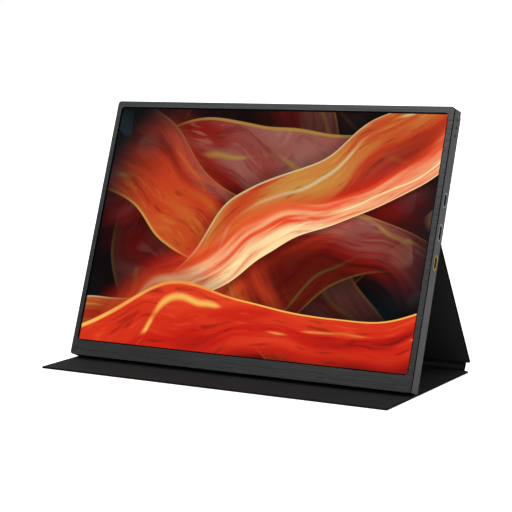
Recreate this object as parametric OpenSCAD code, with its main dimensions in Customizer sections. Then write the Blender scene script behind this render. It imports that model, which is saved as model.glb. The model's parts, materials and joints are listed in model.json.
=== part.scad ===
// Portable monitor standing in its folding cover.
// Millimetres. +X to the right seen from the front, +Y to the back, +Z up.
// The origin is the middle of the footprint, on the surface that the cover lies on.

/* [Monitor] */
// Width of the monitor
body_w = 295; // [260:1:330]
// Height of the monitor along its front face
body_h = 208.4; // [200:0.2:230]
// Depth of the monitor at its top edge
depth_top = 12.6; // [12.2:0.1:13.4]
// Depth of the monitor at its bottom edge
depth_bottom = 13; // [12.6:0.1:14.5]
// Corner radius of the monitor seen from the front
corner_r = 2.6; // [2:0.1:6]
// Corner radius of the housing at its back
rear_corner_r = 0.8; // [0.6:0.1:2]
// Radius of the rear edges at the top and bottom
rear_r = 0.8; // [0.6:0.1:2]
// Radius of the rear edges at the left and right
side_r = 0.8; // [0.6:0.1:1.6]
// Depth of the level flat under the lower rear edge, on which the monitor stands
foot_depth = 3.8; // [3:0.1:5]
// Wall of the rear housing at its sides
wall = 1.2; // [1:0.1:1.4]
// Wall of the rear housing at its back
back_wall = 1.2; // [0.9:0.1:1.4]

/* [Front] */
// Bezel width at the left and right
bezel_side = 4.1; // [3.9:0.05:7]
// Bezel width at the top
bezel_top = 4.7; // [4.4:0.1:8]
// Bezel width at the bottom
bezel_bottom = 11.7; // [11:0.1:18]
// Thickness of the front bezel
bezel_t = 0.8; // [0.6:0.05:1.1]
// Corner radius of the screen opening
opening_r = 3; // [1:0.1:4]
// Thickness of the adhesive frame behind the bezel
tape_t = 0.15; // [0.1:0.01:0.25]
// Thickness of the dark frame between the bezel and the housing
frame_t = 0.95; // [0.85:0.05:1.4]
// How far the dark frame is set in from the outline
frame_inset = 0.3; // [0.1:0.05:0.6]
// How far the display reaches behind the bezel at the sides and top
panel_lap = 1.2; // [0.8:0.1:1.4]
// How far the display reaches behind the bottom bezel
panel_ledge = 5; // [4:0.1:6]

/* [Display] */
// Thickness of the front polariser
polariser_t = 0.2; // [0.1:0.05:0.3]
// Thickness of the liquid crystal cell
cell_t = 1; // [0.8:0.05:1.1]
// Thickness of the stack of diffuser and prism films
film_t = 0.4; // [0.2:0.05:0.45]
// Thickness of the light guide plate
guide_t = 0.7; // [0.5:0.05:0.75]
// Thickness of the white reflector
reflector_t = 0.15; // [0.1:0.05:0.2]
// Sheet thickness of the steel tray
tray_t = 0.4; // [0.3:0.05:0.45]
// Height of the strip that carries the light sources
light_strip_h = 2; // [1.6:0.1:3]
// Distance between two light sources
light_pitch = 7; // [5:0.5:12]

/* [Stand] */
// Lean of the front face away from upright
tilt = 20.6; // [18:0.1:24]
// Height of the upper fold along the back
fold_height = 108.6; // [100:0.2:116]
// Length of the leg from the upper fold to the heel fold
leg_len = 110; // [106:0.2:116]
// Length of the heel strip from fold to fold
heel_len = 6.4; // [5.6:0.1:9]
// Lean of the heel strip away from upright
heel_lean = 27; // [15:1:40]
// Depth of the flap that lies on the table
flap_depth = 138; // [120:1:160]

/* [Cover] */
// How far the cover's sides stand in from the monitor's sides
cover_side_gap = 0; // [0:0.1:3]
// How far the back panel stands in at each side from the leg
back_inset = 0.4; // [0:0.1:1.5]
// How far the heel strip is set in at each side
heel_inset = 3.7; // [1:0.1:8]
// Distance of the back panel from the monitor's top edge
cover_top_gap = 3.8; // [2:0.1:8]
// Thickness of a cover panel
cover_t = 1.5; // [1.3:0.05:1.8]
// Thickness of the outer skin
skin_t = 0.35; // [0.25:0.05:0.45]
// Thickness of the inner lining
lining_t = 0.3; // [0.2:0.05:0.35]
// Width of the turned edge around the stiffener
turned_edge = 1; // [0.7:0.1:1.4]
// Corner radius of the panels
cover_r = 1.2; // [1:0.1:2.4]
// Distance from a fold's axis to the edge of the panel beside it
fold_half = 0.9; // [0.85:0.05:1.2]
// Thickness of the flexible web in a fold
web_t = 0.9; // [0.6:0.05:1]
// Room between the monitor's lower edge and the flap it rests on
rest_gap = 0.3; // [0.2:0.05:0.5]

/* [Ports] */
// Height of the upper port's centre above the monitor's bottom
upper_port_z = 140.9; // [134:0.1:146]
// Height of the video port's centre above the monitor's bottom
video_port_z = 116.9; // [112:0.1:122]
// Height of the lower port's centre above the monitor's bottom
lower_port_z = 94.9; // [90:0.1:98]
// Distance of the ports' centre line from the back
port_inset = 4.7; // [4.4:0.1:5.1]
// Length of the round-ended port opening
port_l = 9.8; // [9.3:0.1:10.4]
// Length of the video port opening
video_l = 11.4; // [11.2:0.1:12.4]
// Width of the port openings
port_w = 3.6; // [3.5:0.05:3.9]
// Width of the bright rim around an opening
rim_w = 0.6; // [0.4:0.05:0.7]
// Depth of the bright rim
rim_t = 0.5; // [0.3:0.05:0.6]
// Depth of a connector behind its mouth
connector_depth = 7.4; // [6.5:0.1:9]

/* [Buttons] */
// Distance of the middle button below the monitor's top edge
button_drop = 13.7; // [12:0.1:18]
// Distance between two buttons
button_pitch = 5.85; // [5:0.05:6.2]
// Distance of the buttons' axis from the back
button_inset = 4.9; // [4.6:0.1:5.1]
// Radius of a button
button_r = 1.1; // [0.8:0.05:1.3]
// How far a button stands out
button_proud = 0.2; // [0:0.05:0.4]
// How far a button travels when it is pressed
button_travel = 0.4; // [0.2:0.05:0.5]
// Radial clearance of a button in its hole
button_clearance = 0.1; // [0.05:0.01:0.15]
// Distance of the pin hole above the upper button
pin_hole_rise = 3.6; // [3:0.1:4.4]
// Distance of the pin hole from the back
pin_hole_inset = 2.6; // [2.2:0.1:3.4]
// Radius of the pin hole
pin_hole_r = 0.35; // [0.2:0.05:0.5]

/* [Inside] */
// Width of the main board
board_w = 80; // [60:1:100]
// Height of the main board
board_h = 74; // [70:1:80]
// Thickness of the main board
board_t = 0.8; // [0.6:0.05:0.9]
// Length of a speaker
speaker_l = 34; // [20:1:40]
// Height of a speaker
speaker_h = 9; // [7:0.5:12]
// Thickness of a speaker
speaker_t = 3.5; // [2.5:0.1:4]
// Distance of the speakers' middles from the monitor's sides
speaker_edge = 39.5; // [36:0.5:46]
// Length of a holding magnet
magnet_l = 24; // [12:1:30]
// Height of a holding magnet
magnet_h = 6; // [4:0.5:8]
// Thickness of the magnets in the housing
magnet_t = 1.5; // [1:0.1:2]
// Distance between two magnets in a row
magnet_pitch = 74; // [60:1:80]
// Distance of the upper row of magnets from the monitor's top edge
magnet_drop = 18; // [14:1:24]
// Distance of the lower row of magnets above the fold
magnet_rise = 17; // [10:1:24]
// Distance of the outer frame screws from the monitor's sides
screw_edge = 6; // [5:0.5:10]

/* [Hidden] */

// Steps of a rounded corner, and of a full circle
arc_steps = 8;
$fn = 40;
// Overshoot of a cut past the face that it opens
cut = 1;
// Small gap between stacked sheets of the display
sheet_gap = 0.05;
// Room beside a part that drops into a pocket
slip = 0.2;
// Radial room around a screw in its hole
screw_gap = 0.1;
// Least radius of an inner corner
least_r = 0.6;

// Screen opening and the places along the depth
opening_w = body_w - 2 * bezel_side;
opening_h = body_h - bezel_top - bezel_bottom;
tape_y = bezel_t;
frame_y = tape_y + tape_t;
housing_y = frame_y + frame_t;
module_w = opening_w + 2 * panel_lap;
module_h = opening_h + panel_lap + panel_ledge;
module_z = bezel_bottom - panel_ledge;
module_r = 0.8;
sheet_r = 0.6;
tray_wall = 0.6;
polariser_in = 0.5;
sheet_w = module_w - 2 * tray_wall - 2 * slip;
polariser_y = frame_y + sheet_gap;
cell_y = polariser_y + polariser_t;
film_y = cell_y + cell_t + sheet_gap;
guide_y = film_y + film_t + sheet_gap;
reflector_y = guide_y + guide_t;
tray_y = reflector_y + reflector_t;
tray_back_y = tray_y + tray_t;
sheet_z = module_z + tray_wall + slip;
sheet_h = module_h - 2 * tray_wall - 2 * slip;
guide_z = sheet_z + light_strip_h + slip;
guide_h = sheet_h - light_strip_h - slip;

// The back is a plane that comes forward towards the top, and the flat under its lower edge is level
// when the monitor leans back
wedge = atan((depth_bottom - depth_top) / body_h);
foot_h = foot_depth * tan(tilt);

// Frame around the display, and the screws that hold it to the housing
frame_gap = 0.35;
lip_t = 1;
lip_depth = 2.8;
lip_end = 20;
screw_r = 0.7;
screw_head_r = 1.1;
screw_head_t = 0.6;
screw_len = 4;
boss_r = 1.5;
screw_low_z = (frame_inset + module_z - frame_gap) / 2;
screw_top_z = (body_h - frame_inset + module_z + module_h + frame_gap) / 2;
screw_span = body_w - 2 * screw_edge;
screw_low_count = 5;
screw_top_count = 4;

// Place of the main board, measured from the back plane
connector_h = 3.2;
connector_wall = 0.3;
board_y = -port_inset - connector_h / 2 - board_t;
board_x = module_w / 2 - board_w;
board_z = video_port_z - board_h / 2;
board_screw_in = 4;
board_port_zone = 12;
board_screw_len = board_t + 2.5;
board_screw_spare = 0.5;
board_boss_r = 2;
board_head_r = 1.4;
board_head_t = 0.5;
connector_back = 1;
mouth_x = body_w / 2 - rim_t + slip / 2;
chip_w = 4.4;
tongue_l = 5.5;
tongue_w = 0.7;
tongue_side = 1.3;
port_fit = 0.35;

// Driver board of the display: its chips stand beside the cable that goes to the main board
cable_w = 14;
cable_t = 0.2;
cable_in = 3;
cable_x = board_x + board_screw_in + cable_in + cable_w / 2;
driver_end = 9;
driver_w = 2 * (cable_x + cable_w / 2 + driver_end);
driver_h = 8;
driver_t = 0.6;
driver_z = module_z + 6;
driver_chips = 5;
driver_pitch = (cable_x - cable_w / 2 + driver_w / 2) / driver_chips;

// Buttons and the small board behind them
button_hole_r = button_r + button_clearance;
flange_lip = 0.6;
flange_r = button_r + flange_lip;
flange_t = 0.6;
flange_x = body_w / 2 - wall - slip / 2;
stem_r = 0.6;
stem_l = 1;
switch_x = flange_x - flange_t - stem_l - button_travel - slip / 2;
switch_t = 1.3;
switch_w = 2.8;
plunger_r = 0.5;
plunger_l = 0.4;
button_board_t = 0.8;
button_board_x = switch_x - plunger_l - switch_t;
button_board_h = 2 * (button_pitch + switch_w);
button_board_d = 3.6;
holder_t = 2;
holder_rise = 1;
button_z = body_h - button_drop;

// Speakers, their slots in the back wall and their leads
speaker_x = body_w / 2 - speaker_edge;
speaker_z = foot_h + 3 * wall;
speaker_slots = 6;
slot_margin = 1.5;
slot_l = speaker_h - 2 * slot_margin;
slot_w = 1;
slot_pitch = 4;
lead_r = 0.5;
lead_rise = 3;
lead_y = -back_wall - lead_r;
lead_z = speaker_z + speaker_h + lead_rise;
lead_plug_in = 8;
lead_plug_x = board_x + lead_plug_in;
lead_plug_z = board_z + lead_plug_in;
lead_plug_w = 5;

// Magnets: a row near the top and a row near the fold
magnet_x = [for (k = [0 : 3]) (k - 1.5) * magnet_pitch];
magnet_margin = 3;
cover_magnet_t = cover_t - skin_t - lining_t;

// Cover panels, measured from fold axis to fold axis, and the beads in the folds
cover_w = body_w - 2 * cover_side_gap;
back_panel_w = cover_w - 2 * back_inset;
heel_w = cover_w - 2 * heel_inset;
back_panel_l = body_h - cover_top_gap - fold_height - fold_half;
leg_panel_l = leg_len - 2 * fold_half;
heel_panel_l = heel_len - 2 * fold_half;
bead_gap = 0.3;

// Geometry of the fold axes, with the monitor's lower front edge at y = 0
monitor_z = cover_t + rest_gap + (depth_bottom - foot_depth) * sin(tilt);
back_lean = tilt - wedge;
fold_y0 = depth_bottom * cos(tilt) + fold_height * sin(back_lean) + cover_t / 2 * cos(back_lean);
fold_z = monitor_z - depth_bottom * sin(tilt) + fold_height * cos(back_lean)
    - cover_t / 2 * sin(back_lean);
flap_axis_z = cover_t / 2;
heel_z = flap_axis_z + heel_len * cos(heel_lean);
leg_lean = acos((fold_z - heel_z) / leg_len);
heel_y0 = fold_y0 + leg_len * sin(leg_lean);
flap_axis_y0 = heel_y0 - heel_len * sin(heel_lean);
flap_front_y0 = flap_axis_y0 - fold_half - flap_depth;
leg_rear_y0 = heel_y0 - fold_half * sin(leg_lean) + cover_t / 2 * cos(leg_lean);
panel_top_y0 = depth_bottom * cos(tilt) + (body_h - cover_top_gap) * sin(back_lean)
    + cover_t * cos(back_lean);
body_top_y0 = depth_top * cos(tilt) + body_h * sin(tilt);
rear_y0 = max(leg_rear_y0, panel_top_y0, body_top_y0);

// Everything moves so that the footprint is centred
monitor_y = -(flap_front_y0 + rear_y0) / 2;
flap_front_y = monitor_y + flap_front_y0;

silver = [0.62, 0.63, 0.64];
graphite = [0.34, 0.35, 0.36];
bezel_grey = [0.24, 0.25, 0.26];
near_black = [0.05, 0.05, 0.055];
cover_black = [0.12, 0.12, 0.125];
board_green = [0.08, 0.3, 0.16];
gold = [0.85, 0.62, 0.15];
steel = [0.7, 0.71, 0.72];
polariser_black = [0.02, 0.02, 0.03];
cell_grey = [0.2, 0.22, 0.26];
film_white = [0.93, 0.93, 0.95];
guide_tint = [0.85, 0.92, 0.95];
source_yellow = [0.95, 0.9, 0.6];
cable_amber = [0.75, 0.45, 0.12];
lead_red = [0.6, 0.08, 0.06];
stiffener_brown = [0.35, 0.3, 0.25];
lining_black = [0.17, 0.17, 0.175];

// Points of an arc from angle a0 to a1
function arc(u, v, r, a0, a1) =
    [for (i = [0 : arc_steps]) let (a = a0 + (a1 - a0) * i / arc_steps) [u + r * cos(a), v + r * sin(a)]];

// Outline of a rectangle with rounded corners, centred
function round_rect(w, h, r) = concat(
    arc(w / 2 - r, h / 2 - r, r, 0, 90), arc(-w / 2 + r, h / 2 - r, r, 90, 180),
    arc(-w / 2 + r, -h / 2 + r, r, 180, 270), arc(w / 2 - r, -h / 2 + r, r, 270, 360));

// Upright plate: centred on x, thickness along +y, height from z = 0
module plate(w, h, t, r) {
    translate([0, t, h / 2]) rotate([90, 0, 0]) linear_extrude(t) polygon(round_rect(w, h, r));
}

// Box centred on x and z, with its front at y = 0
module chip(w, h, t) {
    translate([-w / 2, 0, -h / 2]) cube([w, t, h]);
}

// Bar along x with a round-ended section: l along z, w along y, ending at x = 0
module slot_bar(l, w, depth) {
    translate([-depth, 0, 0]) rotate([90, 0, 90]) linear_extrude(depth) polygon(round_rect(w, l, w / 2));
}

// Monitor coordinates: y is the depth behind the front face, z runs up the face
module on_monitor() {
    translate([0, monitor_y, monitor_z]) rotate([-tilt, 0, 0]) children();
}

// Back plane coordinates: y = 0 is the back of the housing, z runs up along it
module on_back() {
    on_monitor() translate([0, depth_bottom, 0]) rotate([wedge, 0, 0]) children();
}

// Side outline of the monitor, drawn in by an inset, starting at depth y0. Each arc's centre lies
// the inset and r inside the two faces that it joins: bottom and foot, foot and back, back and top.
function side_outline(y0, inset, r) =
    let (low = inset + r, high = body_h - low,
         foot = (depth_bottom - foot_depth) * sin(tilt) - low,
         back = depth_bottom * cos(wedge) - low,
         turn = cos(tilt - wedge))
    concat([[y0, inset]],
        arc((foot + low * cos(tilt)) / sin(tilt), low, r, -90, tilt - 90),
        arc((foot * sin(wedge) + back * cos(tilt)) / turn, (back * sin(tilt) - foot * cos(wedge)) / turn,
            r, tilt - 90, wedge),
        arc((back - high * sin(wedge)) / cos(wedge), high, r, wedge, 90),
        [[y0, body_h - inset]]);

// Outline of the back seen from above, with both rear edges rounded
function top_outline(inset, r) =
    let (w = body_w - 2 * inset, y1 = -inset)
    concat([[w / 2, -2 * depth_bottom]], arc(w / 2 - r, y1 - r, r, 0, 90),
        arc(-w / 2 + r, y1 - r, r, 90, 180), [[-w / 2, -2 * depth_bottom]]);

// The housing's solid form, drawn in by the side wall and the back wall. Its corners grow sharper
// towards the back.
module housing_form(y0, side, back) {
    edge_r = max(rear_r - side, least_r);
    flank_r = max(side_r - side, least_r);
    intersection() {
        hull()
            for (end = [[y0, corner_r], [max(depth_top, depth_bottom), rear_corner_r]])
                translate([0, end[0], side]) plate(body_w - 2 * side, body_h - 2 * side, cut,
                    max(end[1] - side, least_r));
        translate([-body_w / 2, 0, 0]) rotate([90, 0, 90]) linear_extrude(body_w)
            translate([side - back, 0]) polygon(side_outline(y0 - 2 * cut, side, edge_r));
        translate([0, depth_bottom + side - back, 0]) rotate([wedge, 0, 0])
            translate([0, 0, -body_h / 2]) linear_extrude(2 * body_h) polygon(top_outline(side, flank_r));
    }
}

// Places its children at each screw along the top and bottom of the frame
module at_frame_screws() {
    for (row = [[screw_low_count, screw_low_z], [screw_top_count, screw_top_z]])
        for (k = [0 : row[0] - 1])
            translate([(k / (row[0] - 1) - 0.5) * screw_span, 0, row[1]])
                rotate([-90, 0, 0]) children();
}

// Places its children at the main board's corners, on the back plane
module at_board_screws() {
    for (x = [board_x + board_screw_in, board_x + board_w - board_port_zone - board_screw_in])
        for (z = [board_z + board_screw_in, board_z + board_h - board_screw_in])
            translate([x, 0, z]) rotate([-90, 0, 0]) children();
}

// Places its children at each holding magnet, on the back plane
module at_magnets() {
    for (x = magnet_x) translate([x, 0, body_h - magnet_drop]) children();
    for (x = magnet_x) if (x + magnet_l / 2 + magnet_margin < board_x)
        translate([x, 0, fold_height + magnet_rise]) children();
}

// Places its children on a port's axis at the right side, x = 0 at the outer face
module at_port(z) {
    on_back() translate([body_w / 2, -port_inset, z]) children();
}

// Places its children on a button's axis, x stays as it is
module at_button(k) {
    on_back() translate([0, -button_inset, button_z + k * button_pitch]) children();
}

module front_bezel() {
    color(bezel_grey) on_monitor() difference() {
        plate(body_w, body_h, bezel_t, corner_r);
        translate([0, -cut, bezel_bottom]) plate(opening_w, opening_h, bezel_t + 2 * cut, opening_r);
    }
}

module bezel_tape() {
    lap = 0.6;
    color(near_black) on_monitor() difference() {
        translate([0, tape_y, frame_inset])
            plate(body_w - 2 * frame_inset, body_h - 2 * frame_inset, tape_t, corner_r - frame_inset);
        translate([0, tape_y - cut, module_z + lap])
            plate(module_w - 2 * lap, module_h - 2 * lap, tape_t + 2 * cut, opening_r);
    }
}

module mid_frame() {
    color(near_black) on_monitor() difference() {
        union() {
            translate([0, frame_y, frame_inset])
                plate(body_w - 2 * frame_inset, body_h - 2 * frame_inset, frame_t, corner_r - frame_inset);
            for (s = [-1, 1])
                translate([s * (body_w / 2 - wall - slip - lip_t / 2), housing_y, body_h / 2])
                    chip(lip_t, body_h - 2 * lip_end, lip_depth);
        }
        translate([0, frame_y - cut, module_z - frame_gap])
            plate(module_w + 2 * frame_gap, module_h + 2 * frame_gap,
                frame_t + lip_depth + 2 * cut, module_r);
        at_frame_screws() translate([0, 0, frame_y - cut])
            cylinder(r = screw_r + screw_gap, h = frame_t + 2 * cut);
        at_frame_screws() translate([0, 0, frame_y - cut])
            cylinder(r = screw_head_r + screw_gap, h = screw_head_t + cut);
    }
}

module polariser_film() {
    color(polariser_black) on_monitor() translate([0, polariser_y, module_z + polariser_in])
        plate(module_w - 2 * polariser_in, module_h - 2 * polariser_in, polariser_t, module_r);
}

module lcd_cell() {
    color(cell_grey) on_monitor() translate([0, cell_y, module_z])
        plate(module_w, module_h, cell_t, module_r);
}

module film_stack() {
    color(film_white) on_monitor() translate([0, film_y, sheet_z])
        plate(sheet_w, sheet_h, film_t, sheet_r);
}

module light_guide() {
    color(guide_tint) on_monitor() translate([0, guide_y, guide_z])
        plate(sheet_w, guide_h, guide_t, sheet_r);
}

module reflector_sheet() {
    color("white") on_monitor() translate([0, reflector_y, sheet_z])
        plate(sheet_w, sheet_h, reflector_t, sheet_r);
}

module backlight_bar() {
    strip_t = 0.3;
    strip_w = sheet_w - 4;
    source_w = 3;
    source_h = light_strip_h - 2 * strip_t;
    count = floor((strip_w - source_w) / 2 / light_pitch);
    color(source_yellow) on_monitor() {
        translate([0, guide_y, sheet_z + strip_t / 2]) chip(strip_w, strip_t, guide_t);
        for (k = [-count : count])
            translate([k * light_pitch, guide_y, sheet_z + strip_t + source_h / 2])
                chip(source_w, source_h, guide_t);
    }
}

module panel_tray() {
    front_y = cell_y + cell_t;
    color(steel) on_monitor() difference() {
        translate([0, front_y, module_z]) plate(module_w, module_h, tray_back_y - front_y, module_r);
        translate([0, front_y - cut, module_z + tray_wall])
            plate(module_w - 2 * tray_wall, module_h - 2 * tray_wall, tray_y - front_y + cut, sheet_r);
    }
}

module panel_driver_board() {
    chip_size = driver_h / 3;
    color(board_green) on_monitor() translate([0, tray_back_y, driver_z]) {
        chip(driver_w, driver_h, driver_t);
        for (k = [0 : driver_chips - 1])
            translate([(k + 0.5) * driver_pitch - driver_w / 2, driver_t, 0])
                chip(4 * chip_size, chip_size, driver_t);
    }
}

// Flat cable from the driver board, across to the front of the main board
module panel_cable() {
    flat_l = 12;
    low_z = driver_z - driver_h / 4;
    low_y = tray_back_y + driver_t;
    bend_z = board_z - flat_l / 3;
    high_z = bend_z + flat_l;
    high_y = depth_bottom - high_z * tan(wedge) + board_y - cable_t - slip;
    color(cable_amber) on_monitor() translate([cable_x - cable_w / 2, 0, 0])
        rotate([90, 0, 90]) linear_extrude(cable_w) polygon([
            [low_y, low_z],
            [low_y + cable_t, low_z],
            [low_y + cable_t, low_z + flat_l],
            [high_y + cable_t, bend_z],
            [high_y + cable_t, high_z],
            [high_y, high_z],
            [high_y, bend_z],
            [low_y, low_z + flat_l]]);
}

module rear_housing() {
    color(graphite) difference() {
        union() {
            on_monitor() difference() {
                housing_form(housing_y, 0, 0);
                housing_form(housing_y - cut, wall, back_wall);
            }
            on_monitor() intersection() {
                housing_form(housing_y, 0, 0);
                at_frame_screws() translate([0, 0, housing_y]) cylinder(r = boss_r, h = depth_bottom);
            }
            on_back() at_board_screws() translate([0, 0, board_y + board_t])
                cylinder(r = board_boss_r, h = -board_y - board_t - back_wall / 2);
            at_button(0) translate([button_board_x - button_board_t - holder_t / 2, -holder_rise, 0])
                chip(holder_t, button_board_h, button_inset + holder_rise - back_wall / 2);
        }
        on_monitor() at_frame_screws() translate([0, 0, housing_y - cut])
            cylinder(r = screw_r, h = screw_len - frame_t + screw_head_t + cut);
        on_back() at_board_screws() translate([0, 0, board_y + board_t - cut])
            cylinder(r = screw_r, h = board_screw_len - board_t + board_screw_spare + cut);
        for (p = [[upper_port_z, port_l], [video_port_z, video_l], [lower_port_z, port_l]])
            at_port(p[0]) translate([cut, 0, 0]) {
                slot_bar(p[1], port_w, wall + 2 * cut);
                slot_bar(p[1] + 2 * rim_w, port_w + 2 * rim_w, rim_t + cut);
            }
        for (k = [-1 : 1]) at_button(k) translate([body_w / 2 + cut, 0, 0])
            rotate([0, -90, 0]) cylinder(r = button_hole_r, h = wall + 2 * cut);
        on_back() translate([body_w / 2 + cut, -pin_hole_inset, button_z + button_pitch + pin_hole_rise])
            rotate([0, -90, 0]) cylinder(r = pin_hole_r, h = wall + 2 * cut);
        on_back() for (s = [-1, 1], k = [0 : speaker_slots - 1]) {
            slot_x = s * speaker_x + (k - (speaker_slots - 1) / 2) * slot_pitch;
            translate([slot_x, 0, speaker_z + speaker_h / 2])
                cube([slot_w, 4 * back_wall, slot_l], center = true);
        }
    }
}

module main_board() {
    color(board_green) on_back() difference() {
        translate([board_x, board_y, board_z]) cube([board_w, board_t, board_h]);
        at_board_screws() translate([0, 0, board_y - cut])
            cylinder(r = screw_r + screw_gap, h = board_t + 2 * cut);
    }
}

// Each chip's row: its place on the board, width, height and thickness, as multiples of chip_w
module board_chips() {
    memory = [[3, 5, 2, 2, 0.25], [3, 12, 1.5, 2, 0.2], [6.5, 2.6, 1.4, 1.4, 0.2]];
    scaler = [[8, 12, 3, 3, 0.25]];
    coils = [for (v = [3, 5.4, 7.8]) [10.8, v, 1.2, 1.2, 0.4]];
    small = [for (v = [3, 5, 7]) [13, v, 0.6, 0.4, 0.2]];
    y = board_y + board_t;
    color(near_black) on_back() {
        for (c = concat(memory, scaler, coils, small))
            translate([board_x + c[0] * chip_w, y, board_z + c[1] * chip_w])
                chip(c[2] * chip_w, c[3] * chip_w, c[4] * chip_w);
        translate([lead_plug_x, y, lead_plug_z]) chip(lead_plug_w, lead_plug_w, -y - back_wall - slip);
    }
}

module board_shield() {
    shield_w = 5 * chip_w;
    shield_t = chip_w / 2;
    sheet = 0.2;
    color(steel) on_back() translate([board_x + 8 * chip_w, board_y + board_t, board_z + 12 * chip_w])
        difference() {
            chip(shield_w, shield_w, shield_t);
            translate([0, -cut, 0]) chip(shield_w - 2 * sheet, shield_w - 2 * sheet, shield_t - sheet + cut);
        }
}

module board_screws() {
    color(steel) on_back() at_board_screws() {
        translate([0, 0, board_y - board_head_t]) cylinder(r = board_head_r, h = board_head_t);
        translate([0, 0, board_y]) cylinder(r = screw_r - screw_gap / 2, h = board_screw_len);
    }
}

// Folded shell of a connector, open at its mouth, soldered on the board
module port_shell(z, l) {
    at_port(z) translate([mouth_x - body_w / 2 - port_fit, 0, 0]) difference() {
        slot_bar(l, connector_h, connector_depth);
        translate([cut, 0, 0]) slot_bar(l - 2 * connector_wall, connector_h - 2 * connector_wall,
            connector_depth - connector_back + cut);
    }
}

// Tongue that carries the contacts, standing on the connector's rear wall
module port_tongue(z, l) {
    back_x = mouth_x - body_w / 2 - port_fit - connector_depth + connector_back;
    at_port(z) translate([back_x, -tongue_w / 2, -l / 2]) cube([tongue_l, tongue_w, l]);
}

module upper_port_shell() {
    color(silver) port_shell(upper_port_z, port_l - 2 * port_fit);
}

module upper_port_tongue() {
    color(near_black) port_tongue(upper_port_z, port_l - 2 * tongue_side);
}

module video_port_shell() {
    color(silver) port_shell(video_port_z, video_l - 2 * port_fit);
}

module video_port_tongue() {
    color(near_black) port_tongue(video_port_z, video_l - 2 * tongue_side);
}

module lower_port_shell() {
    color(gold) port_shell(lower_port_z, port_l - 2 * port_fit);
}

module lower_port_tongue() {
    color(gold) port_tongue(lower_port_z, port_l - 2 * tongue_side);
}

// Bright ring set flush in the side wall
module port_rim(z, l) {
    at_port(z) difference() {
        slot_bar(l + 2 * rim_w, port_w + 2 * rim_w, rim_t);
        translate([cut, 0, 0]) slot_bar(l, port_w, rim_t + 2 * cut);
    }
}

module silver_port_rims() {
    color(silver) {
        port_rim(upper_port_z, port_l);
        port_rim(video_port_z, video_l);
    }
}

module gold_port_rim() {
    color(gold) port_rim(lower_port_z, port_l);
}

module button_board() {
    color(board_green) at_button(0)
        translate([button_board_x - button_board_t / 2, -button_board_d / 2, 0])
            chip(button_board_t, button_board_h, button_board_d);
}

module button_switches() {
    color(near_black) for (k = [-1 : 1]) at_button(k) {
        translate([button_board_x + switch_t / 2, -switch_w / 2, 0]) chip(switch_t, switch_w, switch_w);
        translate([button_board_x + switch_t, 0, 0]) rotate([0, 90, 0])
            cylinder(r = plunger_r, h = plunger_l);
    }
}

// Button cap with the flange that keeps it in and the stem that meets the switch
module side_button(k) {
    color(near_black) at_button(k) {
        translate([flange_x - flange_t, 0, 0]) rotate([0, 90, 0])
            cylinder(r = flange_r, h = flange_t);
        translate([flange_x - flange_t - stem_l, 0, 0]) rotate([0, 90, 0])
            cylinder(r = stem_r, h = stem_l);
        translate([flange_x, 0, 0]) rotate([0, 90, 0])
            cylinder(r = button_r, h = body_w / 2 + button_proud - flange_x);
    }
}

module power_button() {
    side_button(1);
}

module plus_button() {
    side_button(0);
}

module minus_button() {
    side_button(-1);
}

module speaker(s) {
    cap_t = 0.4;
    cap_r = speaker_h / 2 - 1;
    color(near_black) on_back()
        translate([s * speaker_x, -back_wall - speaker_t, speaker_z + speaker_h / 2]) {
            chip(speaker_l, speaker_h, speaker_t);
            rotate([90, 0, 0]) cylinder(r = cap_r, h = cap_t);
        }
}

module left_speaker() {
    speaker(-1);
}

module right_speaker() {
    speaker(1);
}

module speaker_leads() {
    top_z = speaker_z + speaker_h;
    color(lead_red) on_back() for (s = [-1, 1]) {
        end_x = lead_plug_x + s * lead_r;
        start_x = s * (speaker_x - speaker_l / 4);
        reach = end_x - start_x;
        z = lead_z + (s + 1) * lead_r;
        translate([start_x, lead_y, top_z]) cylinder(r = lead_r, h = z - top_z);
        translate([start_x, lead_y, z]) sphere(r = lead_r);
        translate([start_x, lead_y, z]) rotate([0, 90 * sign(reach), 0])
            cylinder(r = lead_r, h = abs(reach));
        translate([end_x, lead_y, z]) sphere(r = lead_r);
        translate([end_x, lead_y, z]) cylinder(r = lead_r, h = lead_plug_z - lead_plug_w / 2 - z);
    }
}

module housing_magnets() {
    color(steel) on_back() at_magnets() translate([0, -back_wall - magnet_t, 0])
        chip(magnet_l, magnet_h, magnet_t);
}

module housing_screws() {
    color(steel) on_monitor() at_frame_screws() translate([0, 0, frame_y]) {
        cylinder(r = screw_head_r, h = screw_head_t);
        cylinder(r = screw_r - screw_gap / 2, h = screw_len);
    }
}

// Cover panel frame: y = 0 is the inner face, z runs along the panel from 0
module panel_skin(w, l) {
    color(cover_black) difference() {
        plate(w, l, cover_t, cover_r);
        translate([0, -cut, turned_edge])
            plate(w - 2 * turned_edge, l - 2 * turned_edge, cover_t - skin_t + cut, cover_r / 2);
    }
}

module panel_board(w, l) {
    color(stiffener_brown) translate([0, lining_t, turned_edge])
        plate(w - 2 * turned_edge, l - 2 * turned_edge, cover_magnet_t, cover_r / 2);
}

module panel_lining(w, l) {
    color(lining_black) translate([0, 0, turned_edge])
        plate(w - 2 * turned_edge, l - 2 * turned_edge, lining_t, cover_r / 2);
}

// Flexible web: a round bead on the fold's axis and a tongue to the panel above it
module fold_web(w) {
    color(cover_black) {
        rotate([0, 90, 0]) cylinder(r = fold_half - bead_gap, h = w, center = true);
        translate([-w / 2, -web_t / 2, 0]) cube([w, web_t, fold_half]);
    }
}

// The four panels, each in its own place
module at_back_panel() {
    on_back() translate([0, 0, fold_height + fold_half]) children();
}

module at_fold() {
    translate([0, monitor_y + fold_y0, fold_z]) children();
}

module at_leg() {
    at_fold() rotate([leg_lean, 0, 0]) translate([0, -cover_t / 2, fold_half - leg_len]) children();
}

module at_heel() {
    translate([0, monitor_y + heel_y0, heel_z]) children();
}

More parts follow.
